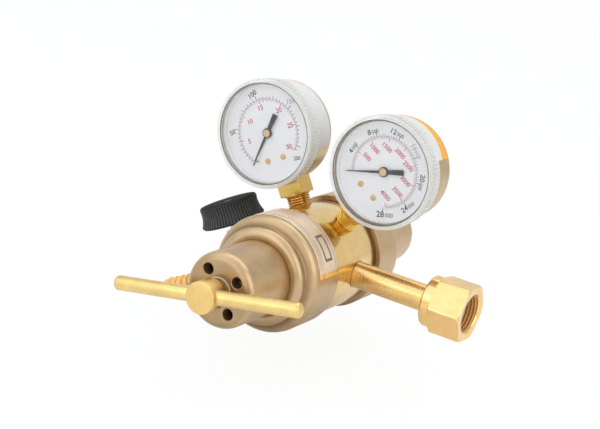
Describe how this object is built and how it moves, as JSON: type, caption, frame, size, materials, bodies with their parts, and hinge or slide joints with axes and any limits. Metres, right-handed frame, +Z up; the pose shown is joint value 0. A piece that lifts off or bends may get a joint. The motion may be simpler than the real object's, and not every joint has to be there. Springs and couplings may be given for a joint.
{
  "type": "two-stage gas pressure regulator",
  "caption": "Brass two-stage gas regulator with tee-handle screw, dial gauges, hexagon inlet nut and a needle valve ending in a hose barb.",
  "frame": {"origin": "centre of the inlet nut's mouth", "axes": "+X out of the inlet nut, toward the cylinder valve; +Y from the tee handle to the rear bonnet; +Z up"},
  "size_m": [0.1936, 0.202, 0.1457],
  "materials": {
    "body_brass": "polished",
    "bonnet_cast": "satin",
    "plate": "satin",
    "bar_brass": "polished",
    "pale_brass": "polished",
    "steel": "satin",
    "spring_steel": "satin",
    "rubber": "matte",
    "bronze": "matte",
    "washer": "matte",
    "knob": "satin",
    "case_brass": "satin",
    "lens": "clear",
    "dial": "matte",
    "pointer": "matte"
  },
  "bodies": {
    "root": {"body": "body_brass", "front_bonnet": "bonnet_cast", "rear_bonnet": "bonnet_cast", "name_plate": "plate", "screw_bushing": "steel", "front_range_spring": "spring_steel", "front_diaphragm": "rubber", "front_slip_ring": "steel", "front_nozzle": "pale_brass", "front_valve_spring": "spring_steel", "rear_preset_screw": "steel", "rear_spring_button": "steel", "rear_range_spring": "spring_steel", "rear_diaphragm": "rubber", "rear_slip_ring": "steel", "rear_nozzle": "pale_brass", "rear_valve_spring": "spring_steel", "inlet_nipple": "pale_brass", "inlet_filter": "bronze", "inlet_washer": "washer", "outlet_valve_body": "body_brass", "valve_packing_nut": "body_brass", "valve_packing": "washer", "hose_barb": "bar_brass", "low_case": "case_brass", "low_socket": "body_brass", "low_lens": "lens", "low_dial": "dial", "low_dial_screws": "bar_brass", "low_movement_frame": "bar_brass", "low_tube": "bronze", "high_case": "case_brass", "high_socket": "body_brass", "high_lens": "lens", "high_dial": "dial", "high_dial_screws": "bar_brass", "high_movement_frame": "bar_brass", "high_tube": "bronze"},
    "front_button": {"front_spring_button": "steel"},
    "tee_screw": {"adjusting_screw": "bar_brass", "tee_bar": "bar_brass"},
    "front_plate": {"front_diaphragm_plate": "bar_brass"},
    "front_poppet": {"front_valve": "steel"},
    "rear_plate": {"rear_diaphragm_plate": "bar_brass"},
    "rear_poppet": {"rear_valve": "steel"},
    "inlet_nut": {"inlet_nut": "pale_brass"},
    "needle": {"valve_spindle": "steel"},
    "knob": {"valve_knob": "knob", "knob_screw": "steel"},
    "low_hand": {"low_pointer": "pointer", "low_pinion": "bar_brass"},
    "low_sector": {"low_sector": "bar_brass"},
    "low_link": {"low_link": "bar_brass"},
    "high_hand": {"high_pointer": "pointer", "high_pinion": "bar_brass"},
    "high_sector": {"high_sector": "bar_brass"},
    "high_link": {"high_link": "bar_brass"}
  },
  "joints": [
    {"name": "front_button_slide", "type": "slide", "parent": "root", "child": "front_button", "axis": [0, 1, 0], "range_m": [-0.0032, 0.004], "deforming": ["front_range_spring"]},
    {"name": "adjusting_screw_turn", "type": "hinge", "parent": "front_button", "child": "tee_screw", "pos_m": [-0.0982, -0.1, 0], "axis": [0, 1, 0], "range_deg": [-720, 900]},
    {"name": "front_plate_slide", "type": "slide", "parent": "root", "child": "front_plate", "axis": [0, 1, 0], "range_m": [0, 0.0006], "stiffness_N_per_m": 2000, "deforming": ["front_diaphragm"]},
    {"name": "front_valve_slide", "type": "slide", "parent": "root", "child": "front_poppet", "axis": [0, 1, 0], "range_m": [0, 0.0006], "deforming": ["front_valve_spring"]},
    {"name": "rear_plate_slide", "type": "slide", "parent": "root", "child": "rear_plate", "axis": [0, -1, 0], "range_m": [0, 0.0006], "stiffness_N_per_m": 2000, "deforming": ["rear_diaphragm", "rear_range_spring"]},
    {"name": "rear_valve_slide", "type": "slide", "parent": "root", "child": "rear_poppet", "axis": [0, -1, 0], "range_m": [0, 0.0006], "deforming": ["rear_valve_spring"]},
    {"name": "inlet_nut_spin", "type": "hinge", "parent": "root", "child": "inlet_nut", "pos_m": [0, 0, 0], "axis": [1, 0, 0], "continuous": true},
    {"name": "needle_lift", "type": "slide", "parent": "root", "child": "needle", "axis": [-0.4623, -0.1045, 0.8805], "range_m": [0, 0.003]},
    {"name": "knob_turn", "type": "hinge", "parent": "needle", "child": "knob", "pos_m": [-0.13866, 0.0052, -0.02124], "axis": [-0.4623, -0.1045, 0.8805], "range_deg": [0, 1080]},
    {"name": "low_sector_swing", "type": "hinge", "parent": "root", "child": "low_sector", "pos_m": [-0.12682, 0.0045, 0.04918], "axis": [0, -1, 0], "range_deg": [0, 22.5], "stiffness_Nm_per_rad": 0.02, "deforming": ["low_tube"]},
    {"name": "low_pointer_turn", "type": "hinge", "parent": "root", "child": "low_hand", "pos_m": [-0.13467, 0.0045, 0.06266], "axis": [0, 1, 0], "range_deg": [0, 270]},
    {"name": "low_link_swing", "type": "hinge", "parent": "low_sector", "child": "low_link", "pos_m": [-0.12074, 0.0045, 0.04867], "axis": [0, 1, 0], "range_deg": [0, 22.5]},
    {"name": "high_sector_swing", "type": "hinge", "parent": "root", "child": "high_sector", "pos_m": [-0.06855, 0.0026, 0.04857], "axis": [0, -1, 0], "range_deg": [0, 22.5], "stiffness_Nm_per_rad": 0.02, "deforming": ["high_tube"]},
    {"name": "high_pointer_turn", "type": "hinge", "parent": "root", "child": "high_hand", "pos_m": [-0.06043, 0.0026, 0.06188], "axis": [0, 1, 0], "range_deg": [0, 270]},
    {"name": "high_link_swing", "type": "hinge", "parent": "high_sector", "child": "high_link", "pos_m": [-0.06611, 0.0026, 0.04297], "axis": [0, 1, 0], "range_deg": [0, 22.5]}
  ],
  "couplings": [
    {"joint": "front_button_slide", "follows": "adjusting_screw_turn", "m_per_rad": 0.00025266},
    {"joint": "front_valve_slide", "follows": "front_plate_slide", "ratio": 1},
    {"joint": "rear_valve_slide", "follows": "rear_plate_slide", "ratio": 1},
    {"joint": "needle_lift", "follows": "knob_turn", "m_per_rad": 0.00015915},
    {"joint": "low_pointer_turn", "follows": "low_sector_swing", "ratio": 12},
    {"joint": "low_link_swing", "follows": "low_sector_swing", "ratio": 1},
    {"joint": "high_pointer_turn", "follows": "high_sector_swing", "ratio": 12},
    {"joint": "high_link_swing", "follows": "high_sector_swing", "ratio": 1}
  ]
}
